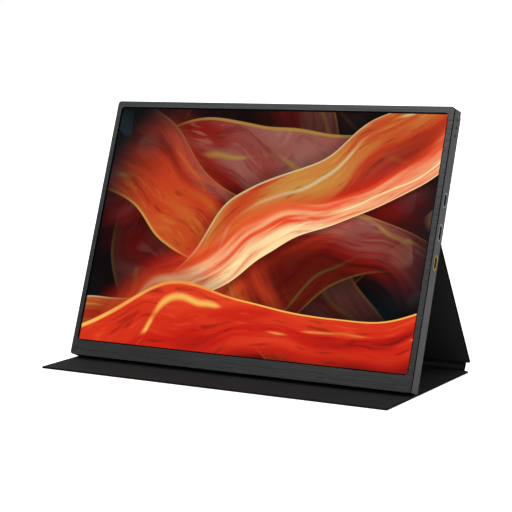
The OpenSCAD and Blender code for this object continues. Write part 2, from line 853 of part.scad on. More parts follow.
module at_heel_strip() {
    at_heel() rotate([-heel_lean, 0, 0]) translate([0, -cover_t / 2, fold_half - heel_len]) children();
}

module at_flap() {
    translate([0, flap_front_y, cover_t]) rotate([-90, 0, 0]) children();
}

module back_panel_skin() {
    at_back_panel() panel_skin(back_panel_w, back_panel_l);
}

module back_panel_board() {
    difference() {
        at_back_panel() panel_board(back_panel_w, back_panel_l);
        on_back() at_magnets() translate([0, -cut, 0]) chip(magnet_l, magnet_h, cover_t + 2 * cut);
    }
}

module back_panel_magnets() {
    color(steel) on_back() at_magnets() translate([0, lining_t, 0])
        chip(magnet_l, magnet_h, cover_magnet_t);
}

module back_panel_lining() {
    at_back_panel() panel_lining(back_panel_w, back_panel_l);
}

module back_fold_web() {
    at_fold() rotate([-back_lean, 0, 0]) fold_web(cover_w);
}

module leg_skin() {
    at_leg() panel_skin(cover_w, leg_panel_l);
}

module leg_board() {
    at_leg() panel_board(cover_w, leg_panel_l);
}

module leg_lining() {
    at_leg() panel_lining(cover_w, leg_panel_l);
}

module heel_fold_web() {
    at_heel() rotate([leg_lean, 0, 0]) fold_web(heel_w);
}

module heel_skin() {
    at_heel_strip() panel_skin(heel_w, heel_panel_l);
}

module heel_strip() {
    at_heel_strip() panel_board(heel_w, heel_panel_l);
}

module heel_lining() {
    at_heel_strip() panel_lining(heel_w, heel_panel_l);
}

module flap_fold_web() {
    translate([0, monitor_y + flap_axis_y0, flap_axis_z]) rotate([-heel_lean, 0, 0])
        fold_web(heel_w);
}

module flap_skin() {
    at_flap() panel_skin(cover_w, flap_depth);
}

module flap_board() {
    at_flap() panel_board(cover_w, flap_depth);
}

module flap_lining() {
    at_flap() panel_lining(cover_w, flap_depth);
}

front_bezel();
bezel_tape();
mid_frame();
polariser_film();
lcd_cell();
film_stack();
light_guide();
reflector_sheet();
backlight_bar();
panel_tray();
panel_driver_board();
panel_cable();
rear_housing();
main_board();
board_chips();
board_shield();
board_screws();
upper_port_shell();
upper_port_tongue();
video_port_shell();
video_port_tongue();
lower_port_shell();
lower_port_tongue();
silver_port_rims();
gold_port_rim();
button_board();
button_switches();
power_button();
plus_button();
minus_button();
left_speaker();
right_speaker();
speaker_leads();
housing_magnets();
housing_screws();
back_panel_skin();
back_panel_board();
back_panel_magnets();
back_panel_lining();
back_fold_web();
leg_skin();
leg_board();
leg_lining();
heel_fold_web();
heel_skin();
heel_strip();
heel_lining();
flap_fold_web();
flap_skin();
flap_board();
flap_lining();
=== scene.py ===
import bpy
import bmesh
import json
import math
import numpy as np
from mathutils import Matrix, Vector


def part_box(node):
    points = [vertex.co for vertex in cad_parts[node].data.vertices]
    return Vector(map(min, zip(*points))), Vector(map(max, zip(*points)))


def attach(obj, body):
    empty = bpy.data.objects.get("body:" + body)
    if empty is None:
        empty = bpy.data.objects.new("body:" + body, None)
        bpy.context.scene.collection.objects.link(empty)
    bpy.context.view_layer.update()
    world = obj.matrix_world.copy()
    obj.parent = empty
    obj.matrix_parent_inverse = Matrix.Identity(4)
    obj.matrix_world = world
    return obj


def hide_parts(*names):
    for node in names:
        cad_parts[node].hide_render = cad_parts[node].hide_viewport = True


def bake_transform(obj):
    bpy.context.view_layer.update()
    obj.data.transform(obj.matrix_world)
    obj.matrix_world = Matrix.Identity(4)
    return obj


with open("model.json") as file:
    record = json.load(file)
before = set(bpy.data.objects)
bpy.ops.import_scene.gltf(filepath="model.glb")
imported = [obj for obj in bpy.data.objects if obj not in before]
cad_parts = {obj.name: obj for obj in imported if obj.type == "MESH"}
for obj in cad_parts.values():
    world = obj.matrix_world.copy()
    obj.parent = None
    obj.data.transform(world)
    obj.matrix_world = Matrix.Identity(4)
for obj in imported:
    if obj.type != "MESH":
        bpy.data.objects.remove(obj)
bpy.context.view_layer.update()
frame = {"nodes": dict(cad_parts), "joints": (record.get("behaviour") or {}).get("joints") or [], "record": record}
cadNodes = frame["nodes"]
mm = 0.001
print("frame loaded:", len(cadNodes), "nodes")

# The camera stands to the right, above the screen's middle, and looks down a little
camera = {
    "place": (0.61612, -1.02815, 0.25456),
    "turnLeft": 30.803, "lookDown": 7.934, "roll": -0.566,
    "lens": 113.107, "sensor": 36.0,
    "clip": (0.05, 60.0),
}


def makeCamera(spec):
    # right, up and forward come from the turn and the look down; roll then turns right and up
    turn, down, roll = (math.radians(spec[k]) for k in ("turnLeft", "lookDown", "roll"))
    ahead = Vector((-math.sin(turn), math.cos(turn), 0))
    forward = math.cos(down) * ahead - math.sin(down) * Vector((0, 0, 1))
    side = Vector((math.cos(turn), math.sin(turn), 0))
    over = side.cross(forward)
    right = math.cos(roll) * side + math.sin(roll) * over
    up = math.cos(roll) * over - math.sin(roll) * side
    data = bpy.data.cameras.new("camera")
    data.lens, data.sensor_width = spec["lens"], spec["sensor"]
    data.clip_start, data.clip_end = spec["clip"]
    made = bpy.data.objects.new("camera", data)
    turned = Matrix((right, up, -forward)).transposed().to_4x4()
    made.matrix_world = Matrix.Translation(spec["place"]) @ turned
    bpy.context.scene.collection.objects.link(made)
    bpy.context.scene.camera = made


makeCamera(camera)


# Sizes of the monitor, as it was built
monitor = {
    "tilt": math.radians(20.6),
    "depthTop": 12.6 * mm, "depthBottom": 13 * mm,
    "cornerRadius": 2.6 * mm,
    "bezelSide": 4.1 * mm, "bezelTop": 4.7 * mm, "bezelBottom": 11.7 * mm,
    "bezelThickness": 0.8 * mm, "openingRadius": 3 * mm,
}
bezelLow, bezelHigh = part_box("front_bezel")
monitor["width"] = bezelHigh.x - bezelLow.x
leanSin, leanCos = math.sin(monitor["tilt"]), math.cos(monitor["tilt"])
monitor["height"] = (bezelHigh.z - bezelLow.z - monitor["bezelThickness"] * leanSin) / leanCos
wedge = math.atan((monitor["depthBottom"] - monitor["depthTop"]) / monitor["height"])
pictureWidth = monitor["width"] - 2 * monitor["bezelSide"]
pictureHeight = monitor["height"] - monitor["bezelTop"] - monitor["bezelBottom"]


def makeSeat(origin, out, up):
    # a place with three directions: right, out through the thickness, and up along the piece
    out, up = np.array(out, float), np.array(up, float)
    return {"origin": np.array(origin, float), "right": np.cross(out, up), "out": out, "up": up}


def onSeat(seat, x, y, z):
    # a point is the origin plus x to the right, y outwards and z up
    x, y, z = np.broadcast_arrays(*(np.asarray(v, float) for v in (x, y, z)))
    return (seat["origin"] + x[..., None] * seat["right"] + y[..., None] * seat["out"]
            + z[..., None] * seat["up"])


def leaningSeat(origin, angle):
    # up leans back by the angle, and out points backwards, square to it
    lean, level = math.sin(angle), math.cos(angle)
    return makeSeat(origin, (0, level, -lean), (0, lean, level))


frontFoot = bezelLow.z + monitor["bezelThickness"] * leanSin
frontSeat = leaningSeat((0, bezelLow.y, frontFoot), monitor["tilt"])
backSeat = leaningSeat(onSeat(frontSeat, 0, monitor["depthBottom"], 0), monitor["tilt"] - wedge)


# Meshes: every new piece is a set of loops, worked out as whole arrays
meshing = {
    "sliver": 0.001 * mm, "mergeNew": 0.0001 * mm, "mergeOld": 0.002 * mm,
    "flatWithin": math.radians(0.6), "bevelSegments": 2,
}


def roundedLoop(width, height, radius, steps=10):
    # four quarter circles about the corners' centres, joined by straight sides; anticlockwise
    turn = np.linspace(0, math.pi / 2, steps + 1)
    starts = np.arange(4) * math.pi / 2
    angle = (starts[:, None] + turn).ravel()
    corner = np.array([(1, 1), (-1, 1), (-1, -1), (1, -1)]).repeat(steps + 1, axis=0)
    centre = corner * (np.array((width, height)) / 2 - radius)
    return centre + radius * np.stack((np.cos(angle), np.sin(angle)), axis=1)


def slotLoop(length, width, steps=24):
    # two half circles at the ends of a straight slot that runs up
    return roundedLoop(width, length, width / 2 - meshing["sliver"], steps // 2)


def quadsBetween(rows, cols, closeRows=False):
    # neighbouring loops share their points; each loop closes on itself
    row = np.arange(rows if closeRows else rows - 1)[:, None]
    col = np.arange(cols)[None, :]
    nextRow, nextCol = (row + 1) % rows, (col + 1) % cols
    here, there = row * cols, nextRow * cols
    corners = (here + col, here + nextCol, there + nextCol, there + col)
    return np.stack(np.broadcast_arrays(*corners), axis=-1).reshape(-1, 4)


def makePiece(name, loops, caps=True, ring=False, sharpAngle=40):
    # loops is an array of loops by points by three; caps close the first and the last loop
    rows, cols = loops.shape[:2]
    faces = quadsBetween(rows, cols, ring).tolist()
    if caps:
        faces += [list(range(cols))[::-1], list(range((rows - 1) * cols, rows * cols))]
    mesh = bpy.data.meshes.new(name)
    mesh.from_pydata(loops.reshape(-1, 3).tolist(), [], faces)
    return finishMesh(name, mesh, sharpAngle)


def showMesh(name, mesh, sharpAngle, bevel=0.0):
    # smooth faces, and crisp edges past the sharp angle, with a small bevel where one is given
    mesh.polygons.foreach_set("use_smooth", [True] * len(mesh.polygons))
    mesh.set_sharp_from_angle(angle=math.radians(sharpAngle))
    made = bpy.data.objects.new(name, mesh)
    bpy.context.scene.collection.objects.link(made)
    if bevel:
        soften = made.modifiers.new("soften", "BEVEL")
        soften.width, soften.segments = bevel, meshing["bevelSegments"]
        soften.limit_method, soften.angle_limit = "ANGLE", math.radians(sharpAngle)
        soften.use_clamp_overlap = True
    weigh = made.modifiers.new("weigh", "WEIGHTED_NORMAL")
    weigh.keep_sharp = True
    return made


def finishMesh(name, mesh, sharpAngle):
    # doubles are merged and faces turned outwards
    work = bmesh.new()
    work.from_mesh(mesh)
    bmesh.ops.remove_doubles(work, verts=work.verts, dist=meshing["mergeNew"])
    bmesh.ops.recalc_face_normals(work, faces=work.faces)
    work.to_mesh(mesh)
    work.free()
    return showMesh(name, mesh, sharpAngle)


def roundedEdge(radius, steps=4):
    # a quarter circle from the flat face to the side: how far in, and how far down
    turn = np.linspace(0, math.pi / 2, steps + 1)
    return np.stack((radius * (1 - np.sin(turn)), radius * (1 - np.cos(turn))), axis=1)


def plateLoops(seat, width, height, radius, thickness, edge, middle=(0, 0), start=0.0, edgeSteps=4):
    # the outline drawn in by the rounded edge, from the outer face (start) to the inner face
    fillet = roundedEdge(edge, edgeSteps)
    sections = [(inset, start + down) for inset, down in fillet]
    sections += [(inset, start + thickness - down) for inset, down in fillet[::-1]]
    loops = []
    for inset, depth in sections:
        flat = roundedLoop(width - 2 * inset, height - 2 * inset, max(radius - inset, edge / 2))
        loops.append(onSeat(seat, flat[:, 0] + middle[0], depth, flat[:, 1] + middle[1]))
    return np.array(loops)


def dressCopy(node, bevel, sharpAngle=32):
    # the CAD node's own shape with its loose triangles merged and its edges broken by a small bevel
    mesh = cadNodes[node].data.copy()
    work = bmesh.new()
    work.from_mesh(mesh)
    bmesh.ops.remove_doubles(work, verts=work.verts, dist=meshing["mergeOld"])
    bmesh.ops.dissolve_limit(work, angle_limit=meshing["flatWithin"],
                             verts=work.verts, edges=work.edges)
    work.to_mesh(mesh)
    work.free()
    return showMesh(node + "_shell", mesh, sharpAngle, bevel)


def settle(piece, body, material, slot, *nodes):
    # rides the piece on its body, gives it its finish and lets it stand for its CAD nodes
    piece.data.materials.clear()
    piece.data.materials.append(material)
    if body:
        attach(piece, body)
    if nodes:
        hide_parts(*nodes)
    return piece


# Materials: small helpers make one node each and wire its inputs
def wire(tree, node, inputs):
    # i and a number picks an input by its place, any other key by its label
    for key, value in inputs.items():
        byPlace = key[0] == "i" and key[1:].isdigit()
        socket = node.inputs[int(key[1:])] if byPlace else node.inputs[key.replace("_", " ")]
        if isinstance(value, bpy.types.NodeSocket):
            tree.links.new(value, socket)
        else:
            socket.default_value = value
    return node


def addNode(tree, kind, settings=None, **inputs):
    node = tree.nodes.new("ShaderNode" + kind)
    for key, value in (settings or {}).items():
        setattr(node, key, value)
    return wire(tree, node, inputs)


def calc(tree, operation, a, b=0.0, c=0.0):
    return addNode(tree, "Math", {"operation": operation}, i0=a, i1=b, i2=c).outputs[0]


def times(tree, a, b):
    return calc(tree, "MULTIPLY", a, b)


def timesPlus(tree, a, b, c):
    # a times b, plus c
    return calc(tree, "MULTIPLY_ADD", a, b, c)


def vectorCalc(tree, operation, a, **more):
    return addNode(tree, "VectorMath", {"operation": operation}, i0=a, **more).outputs[0]


def lengthOf(tree, vector):
    return addNode(tree, "VectorMath", {"operation": "LENGTH"}, i0=vector).outputs["Value"]


def join(tree, x, y, z):
    return addNode(tree, "CombineXYZ", None, X=x, Y=y, Z=z).outputs[0]


def split(tree, vector):
    return addNode(tree, "SeparateXYZ", None, Vector=vector).outputs


def noise(tree, place, **more):
    return addNode(tree, "TexNoise", None, Vector=place, **more).outputs


def blendColour(tree, share, under, over):
    # the node's inputs 6 and 7 are its two colours, and output 2 is its result
    return addNode(tree, "Mix", {"data_type": "RGBA"}, i0=share, i6=under, i7=over).outputs[2]


def ramp(tree, share, low, high, lowTo=0.0, highTo=1.0, smooth=True):
    # maps low..high to lowTo..highTo
    kind = {"interpolation_type": "SMOOTHSTEP" if smooth else "LINEAR"}
    mapped = addNode(tree, "MapRange", kind, i0=share, i1=low, i2=high, i3=lowTo, i4=highTo)
    return mapped.outputs[0]


def newGroup(name, inputs, outputs):
    # inputs are label, kind and value, outputs label and kind; hands back what they are inside
    group = bpy.data.node_groups.new(name, "ShaderNodeTree")
    for label, kind, value in inputs:
        socket = group.interface.new_socket(label, in_out="INPUT", socket_type="NodeSocket" + kind)
        if value is not None:
            socket.default_value = value
    for label, kind in outputs:
        group.interface.new_socket(label, in_out="OUTPUT", socket_type="NodeSocket" + kind)
    given, out = (group.nodes.new("NodeGroup" + end) for end in ("Input", "Output"))
    return group, given.outputs, out.inputs


def useGroup(tree, group, **inputs):
    node = tree.nodes.new("ShaderNodeGroup")
    node.node_tree = group
    return wire(tree, node, inputs).outputs


# The textures' own numbers; a pair, or a set of four, is what a ramp takes
textures = {
    "fineShare": 0.45, "streak": (0.34, 0.66),
    "cloud": (0.3, 0.7), "spot": (0.42, 0.62),
    "stirScale": 0.6, "stirReach": 0.9, "dome": (0.0, 0.75, 1.0, 0.0), "valley": (0.45, 0.8),
}


def makeHairline(spec):
    # noise drawn out along x: long pale and dark streaks, with finer scratches between them
    group, given, out = newGroup(
        "hairline",
        [("Vector", "Vector", None), ("Length", "Float", 0.03), ("Pitch", "Float", 0.0008)],
        [("Streak", "Float"), ("Height", "Float")])
    x, y, z = split(group, given["Vector"])
    along = calc(group, "DIVIDE", x, given["Length"])
    across = [calc(group, "DIVIDE", part, given["Pitch"]) for part in (y, z)]
    flow = join(group, along, *across)
    broad = noise(group, flow, Scale=0.55, Detail=2.0, Roughness=0.6)[0]
    fine = noise(group, flow, Scale=2.3, Detail=3.0, Roughness=0.65)[0]
    both = timesPlus(group, fine, spec["fineShare"], times(group, broad, 1 - spec["fineShare"]))
    group.links.new(ramp(group, both, *spec["streak"]), out["Streak"])
    group.links.new(fine, out["Height"])
    return group


def makeGrain(spec):
    # even fine grain, with a slow cloud under it for marks of handling
    group, given, out = newGroup(
        "grain",
        [("Vector", "Vector", None), ("Size", "Float", 0.0004), ("Cloud Size", "Float", 0.04)],
        [("Height", "Float"), ("Cloud", "Float"), ("Spot", "Float")])
    small = calc(group, "DIVIDE", 1.0, given["Size"])
    large = calc(group, "DIVIDE", 1.0, given["Cloud Size"])
    fine = noise(group, given["Vector"], Scale=small, Detail=3.0, Roughness=0.7)[0]
    cloud = noise(group, given["Vector"], Scale=large, Detail=4.0, Roughness=0.6)[0]
    group.links.new(fine, out["Height"])
    group.links.new(ramp(group, cloud, *spec["cloud"]), out["Cloud"])
    group.links.new(ramp(group, fine, *spec["spot"]), out["Spot"])
    return group


def makePebble(spec):
    # cells with soft valleys between them, as embossed on coated cloth, stirred out of their rows
    group, given, out = newGroup(
        "pebble",
        [("Vector", "Vector", None), ("Size", "Float", 0.0007)],
        [("Height", "Float"), ("Valley", "Float")])
    small = calc(group, "DIVIDE", 1.0, given["Size"])
    stirScale = times(group, small, spec["stirScale"])
    stir = noise(group, given["Vector"], Scale=stirScale, Detail=2.0)["Color"]
    shift = vectorCalc(group, "SCALE", stir, Scale=times(group, given["Size"], spec["stirReach"]))
    moved = vectorCalc(group, "ADD", given["Vector"], i1=shift)
    cells = addNode(group, "TexVoronoi", {"feature": "SMOOTH_F1"},
                    Vector=moved, Scale=small, Smoothness=0.35)
    apart = cells.outputs["Distance"]
    group.links.new(ramp(group, apart, *spec["dome"]), out["Height"])
    group.links.new(ramp(group, apart, *spec["valley"]), out["Valley"])
    return group


hairline, grain, pebble = makeHairline(textures), makeGrain(textures), makePebble(textures)


def newMaterial(name, **settings):
    # a Principled surface whose plain numbers sit on its own sockets
    material = bpy.data.materials.new(name)
    material.use_nodes = True
    tree = material.node_tree
    surface = tree.nodes["Principled BSDF"]
    for key, value in settings.items():
        surface.inputs[key.replace("_", " ")].default_value = value
    place = addNode(tree, "TexCoord").outputs["Object"]
    return material, tree, surface, place


def dressSurface(tree, surface, tone, rough, height, strength, distance):
    # the colour, the roughness and a bump of so much strength over so much depth
    bump = addNode(tree, "Bump", None, Height=height, Strength=strength, Distance=distance)
    for value, label in ((tone, "Base Color"), (rough, "Roughness"), (bump.outputs[0], "Normal")):
        tree.links.new(value, surface.inputs[label])


def grey(value, warm=0.0):
    # a grey that leans towards red or blue
    return (value * (1 + warm), value, value * (1 - warm), 1)


brushed = {
    "dark": grey(0.066, -0.02), "light": grey(0.118, -0.02), "metallic": 0.85,
    "smooth": 0.22, "rough": 0.27, "cloudRough": 0.04, "bump": (0.1, 0.03 * mm),
}


def makeBrushed(spec):
    # the streaks set the tone, and the pale ones shine a little more
    material, tree, surface, place = newMaterial("brushed_bezel", Metallic=spec["metallic"])
    lines = useGroup(tree, hairline, Vector=place, Length=30 * mm, Pitch=0.8 * mm)
    marks = useGroup(tree, grain, Vector=place, Size=0.3 * mm, Cloud_Size=70 * mm)
    tone = blendColour(tree, lines["Streak"], spec["dark"], spec["light"])
    spread = ramp(tree, lines["Streak"], 0, 1, spec["rough"], spec["smooth"], smooth=False)
    rough = timesPlus(tree, marks["Cloud"], spec["cloudRough"], spread)
    dressSurface(tree, surface, tone, rough, lines["Height"], *spec["bump"])
    return material


blasted = {
    "dark": grey(0.028), "light": grey(0.033), "metallic": 0.85, "rough": 0.34, "cloudRough": 0.06,
    "shine": 0.15, "shineTint": grey(0.8), "bump": (0.25, 0.03 * mm),
}


def makeBlasted(spec):
    # matt metal with fine grain, whose reflection along the surface is held down by a grey tint
    material, tree, surface, place = newMaterial(
        "blasted_housing", Metallic=spec["metallic"],
        Specular_IOR_Level=spec["shine"], Specular_Tint=spec["shineTint"])
    marks = useGroup(tree, grain, Vector=place, Size=0.22 * mm, Cloud_Size=50 * mm)
    tone = blendColour(tree, marks["Spot"], spec["dark"], spec["light"])
    rough = timesPlus(tree, marks["Cloud"], spec["cloudRough"], spec["rough"])
    dressSurface(tree, surface, tone, rough, marks["Height"], *spec["bump"])
    return material


moulded = {"cloudSize": 30 * mm, "cloudRough": 0.1, "depth": 0.04 * mm}


def makeMoulded(name, dark, light, rough=0.5, size=0.25 * mm, strength=0.2, **settings):
    # moulded plastic: even tone with a fine spark texture
    material, tree, surface, place = newMaterial(name, **settings)
    marks = useGroup(tree, grain, Vector=place, Size=size, Cloud_Size=moulded["cloudSize"])
    tone = blendColour(tree, marks["Cloud"], dark, light)
    spread = timesPlus(tree, marks["Cloud"], moulded["cloudRough"], rough)
    dressSurface(tree, surface, tone, spread, marks["Height"], strength, moulded["depth"])
    return material


polished = {
    "size": 0.4 * mm, "cloudSize": 12 * mm, "rough": 0.3, "spotRough": 0.12,
    "bump": (0.08, 0.03 * mm),
}


def makeMetal(name, dark, light):
    # bare metal: clouded tone, and spots that are a little duller
    material, tree, surface, place = newMaterial(name, Metallic=1.0)
    marks = useGroup(tree, grain, Vector=place,
                     Size=polished["size"], Cloud_Size=polished["cloudSize"])
    tone = blendColour(tree, marks["Cloud"], dark, light)
    rough = timesPlus(tree, marks["Spot"], polished["spotRough"], polished["rough"])
    dressSurface(tree, surface, tone, rough, marks["Height"], *polished["bump"])
    return material


coated = {
    # valley is the darker colour of painted shade in the pebbles' valleys
    "dark": grey(0.009), "light": grey(0.013), "valley": grey(0.003), "valleyShadeShare": 0.6,
    "rough": 0.7, "valleyRough": 0.2, "shine": 0.012, "grainShare": 0.3, "bump": (0.6, 0.15 * mm),
}


def makeCoated(spec):
    # outer skin: pebbled coating, a little shinier on the domes than in the valleys, with painted shade darkening
    # the valleys
    material, tree, surface, place = newMaterial("coated_cloth", Specular_IOR_Level=spec["shine"])
    cells = useGroup(tree, pebble, Vector=place, Size=0.9 * mm)
    marks = useGroup(tree, grain, Vector=place, Size=0.2 * mm, Cloud_Size=60 * mm)
    plain = blendColour(tree, marks["Cloud"], spec["dark"], spec["light"])
    # painted shade: the colour goes darker in the valleys between the pebbles
    valley = times(tree, cells["Valley"], spec["valleyShadeShare"])
    tone = blendColour(tree, valley, plain, spec["valley"])
    rough = timesPlus(tree, cells["Valley"], spec["valleyRough"], spec["rough"])
    height = timesPlus(tree, marks["Height"], spec["grainShare"], cells["Height"])
    dressSurface(tree, surface, tone, rough, height, *spec["bump"])
    return material


napped = {
    "dark": grey(0.0165), "light": grey(0.0195), "fuzz": grey(0.026), "fuzzShare": 0.2,
    "rough": 0.9, "cloudRough": 0.06, "shine": 0.06, "bump": (0.5, 0.12 * mm),
}


def makeNapped(spec):
    # inner lining: short nap, with the faint clouds that brushing leaves
    material, tree, surface, place = newMaterial("napped_lining", Specular_IOR_Level=spec["shine"])
    marks = useGroup(tree, grain, Vector=place, Size=0.35 * mm, Cloud_Size=45 * mm)
    plain = blendColour(tree, marks["Cloud"], spec["dark"], spec["light"])
    tone = blendColour(tree, times(tree, marks["Spot"], spec["fuzzShare"]), plain, spec["fuzz"])
    rough = timesPlus(tree, marks["Cloud"], spec["cloudRough"], spec["rough"])
    dressSurface(tree, surface, tone, rough, marks["Height"], *spec["bump"])
    return material


finishes = {
    "bezel": makeBrushed(brushed),
    "housing": makeBlasted(blasted),
    "frame": makeMoulded("black_frame", grey(0.004), grey(0.006),
                         rough=0.8, Specular_IOR_Level=0.05),
    "cell": makeMoulded("cell_glass", grey(0.05, -0.1), grey(0.07, -0.1),
                        rough=0.08, strength=0.02),
    "film": makeMoulded("frosted_film", grey(0.82), grey(0.88), rough=0.4, strength=0.1),
    "guide": makeMoulded("clear_guide", (0.72, 0.8, 0.82, 1), (0.8, 0.86, 0.88, 1),
                         rough=0.1, strength=0.05),
    "light_strip": makeMoulded("light_strip", (0.8, 0.7, 0.3, 1), (0.9, 0.82, 0.45, 1),
                               rough=0.35),
    "steel": makeMetal("zinc_steel", grey(0.5), grey(0.6)),
    "board": makeMoulded("solder_mask", (0.01, 0.08, 0.03, 1), (0.015, 0.13, 0.05, 1),
                         rough=0.3, size=1.2 * mm),
    "flex": makeMoulded("amber_film", (0.35, 0.14, 0.02, 1), (0.5, 0.22, 0.03, 1), rough=0.25),
    "chip": makeMoulded("chip_black", grey(0.012), grey(0.02), rough=0.45),
    "port_metal": makeMetal("polished_rim", grey(0.22), grey(0.28)),
    "port_gold": makeMetal("yellow_rim", (0.34, 0.20, 0.03, 1), (0.46, 0.28, 0.05, 1)),
    "port_plastic": makeMoulded("port_black", grey(0.003), grey(0.005), Specular_IOR_Level=0.1),
    "button": makeMoulded("button_black", grey(0.003), grey(0.005), Specular_IOR_Level=0.05),
    "lead": makeMoulded("lead_red", (0.25, 0.015, 0.01, 1), (0.35, 0.03, 0.02, 1)),
    "magnet": makeMetal("nickel_magnet", grey(0.55), grey(0.65)),
    "cover_skin": makeCoated(coated),
    "cover_lining": makeNapped(napped),
    "stiffener": makeMoulded("fibre_board", (0.16, 0.12, 0.08, 1), (0.24, 0.19, 0.13, 1),
                             rough=0.8, size=0.8 * mm, strength=0.5),
}
slotOf = {row["node"]: row["material_slot"] for row in frame["record"]["subparts"]}
print("finishes:", len(finishes))


# Front bezel: the section runs over the rounded outer edge, across the face and into the opening
bezel = {
    "outerEdge": 0.1 * mm, "openingEdge": 0.1 * mm, "thickness": monitor["bezelThickness"],
    # faces turned further from the front than this are painted near black, as painted shade
    "shadeBelow": 0.93,
}
housingBevel = 0.14 * mm


def makeBezel(spec):
    # the outer edge from back to front, then the opening's edge from front to back
    width, height, radius = monitor["width"], monitor["height"], monitor["cornerRadius"]
    holeMiddle = monitor["bezelBottom"] + pictureHeight / 2
    loops = []
    for inset, depth in [(0, spec["thickness"]), *roundedEdge(spec["outerEdge"])[::-1]]:
        flat = roundedLoop(width - 2 * inset, height - 2 * inset, radius - inset)
        loops.append(onSeat(frontSeat, flat[:, 0], depth, flat[:, 1] + height / 2))
    for inset, depth in [*roundedEdge(spec["openingEdge"]), (0, spec["thickness"])]:
        flat = roundedLoop(pictureWidth + 2 * inset, pictureHeight + 2 * inset,
                           monitor["openingRadius"] + inset)
        loops.append(onSeat(frontSeat, flat[:, 0], depth, flat[:, 1] + holeMiddle))
    return makePiece("bezel_plate", np.array(loops), caps=False, ring=True)


def paintShadeOnSides(piece, finish, facing):
    # faces that look away from the front take the near-black finish of the frame behind them, as painted shade
    # that draws a dark line round the bezel's edges
    mesh = piece.data
    mesh.materials.append(finish)
    normals = np.empty(len(mesh.polygons) * 3)
    mesh.polygons.foreach_get("normal", normals)
    front = normals.reshape(-1, 3) @ -frontSeat["out"]
    mesh.polygons.foreach_set("material_index", (front < facing).astype(np.int32))


bezelPlate = settle(makeBezel(bezel), "monitor", finishes["bezel"], "bezel", "front_bezel")
# painted shade: the bezel's sides and edges are coloured near black
paintShadeOnSides(bezelPlate, finishes["frame"], bezel["shadeBelow"])
settle(dressCopy("rear_housing", housingBevel), "monitor",
       finishes["housing"], "housing", "rear_housing")
print("monitor shell done")


# Ports: each rim is a small rounded section carried round its slot
ports = {
    "mounts": {"upper_port": 9.8 * mm, "video_port": 11.4 * mm, "lower_port": 9.8 * mm},
    "slotWidth": 3.6 * mm, "rimWidth": 0.6 * mm, "rimDepth": 0.5 * mm, "rimProud": 0.06 * mm,
    "rimRound": 0.2 * mm, "roundSteps": 3,
    "plain": ("port_metal", "silver_port_rims"), "gilt": ("port_gold", "gold_port_rim"),
}


def portLoop(centre, length, width, out):
    # a slot in the side face: it runs up the back, and out is how far it stands from the side
    flat = slotLoop(length, width)
    return (np.array(centre) + flat[:, :1] * backSeat["out"] + flat[:, 1:] * backSeat["up"]
            + np.array((out, 0, 0)))


def makeRim(name, centre, length, spec):
    # inner wall, rounded top, outer wall; each offset widens the slot all round
    band, top = spec["rimWidth"], spec["rimProud"]
    rounded = roundedEdge(spec["rimRound"], spec["roundSteps"])
    section = [(0, -spec["rimDepth"])]
    section += [(inset, top - down) for inset, down in rounded[::-1]]
    section += [(band - inset, top - down) for inset, down in rounded]
    section += [(band, -spec["rimDepth"])]
    loops = [portLoop(centre, length + 2 * off, spec["slotWidth"] + 2 * off, out)
             for off, out in section]
    return makePiece(name, np.array(loops), caps=False, ring=True)


mountPlace = {m["name"]: m["pos_m"] for m in frame["record"]["mounts"]}
for portName, slotLength in ports["mounts"].items():
    finish, rimNode = ports["gilt"] if portName == "lower_port" else ports["plain"]
    rim = makeRim(portName + "_rim", mountPlace[portName], slotLength, ports)
    settle(rim, "monitor", finishes[finish], finish, rimNode)


# Contacts: rows of narrow gilt strips on both faces of each tongue
contacts = {
    "count": 9, "width": 0.25 * mm, "length": 3.2 * mm, "proud": 0.05 * mm, "start": 0.6 * mm,
    "tongue": 0.35 * mm, "spread": 0.82,
}


def makeContacts(name, tongue, spec):
    # each strip is a box round the tongue: a corner is half a width up, half the thickness out and
    # a length in from the tip, and the strips are spread evenly up the tongue
    low, high = (np.array(v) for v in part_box(tongue))
    middle, tip = (low + high) / 2, high[0] - spec["start"]
    span = (high[2] - low[2]) / backSeat["up"][2] * spec["spread"]
    along = np.linspace(-span / 2, span / 2, spec["count"])
    upward = np.array([-1, 1, 1, -1, -1, 1, 1, -1]) / 2
    outward = np.array([-1, -1, 1, 1, -1, -1, 1, 1])
    inward = np.array([0, 0, 0, 0, 1, 1, 1, 1])
    thick = spec["tongue"] + spec["proud"]
    rise = along[:, None] + upward * spec["width"]
    corners = (middle + rise[..., None] * backSeat["up"]
               + (outward * thick)[:, None] * backSeat["out"])
    corners[..., 0] = tip - inward * spec["length"]
    faces = np.array([(0, 1, 2, 3), (7, 6, 5, 4), (0, 4, 5, 1),
                      (1, 5, 6, 2), (2, 6, 7, 3), (3, 7, 4, 0)])
    every = (faces + 8 * np.arange(len(along))[:, None, None]).reshape(-1, 4)
    mesh = bpy.data.meshes.new(name)
    mesh.from_pydata(corners.reshape(-1, 3).tolist(), [], every.tolist())
    return finishMesh(name, mesh, sharpAngle=30)


for portName in ports["mounts"]:
    strips = makeContacts(portName + "_contacts", portName + "_tongue", contacts)
    settle(strips, "monitor", finishes["port_gold"], "port_gold")


# Buttons: a profile turned about its own axis, from the domed cap to the stem
button = {
    "edge": 0.3 * mm, "edgeSteps": 6, "dome": 0.08 * mm, "cap": 1.1 * mm, "stem": 0.6 * mm,
    "flange": 0.6 * mm, "flangeRoot": 1.0 * mm, "steps": 40,
}


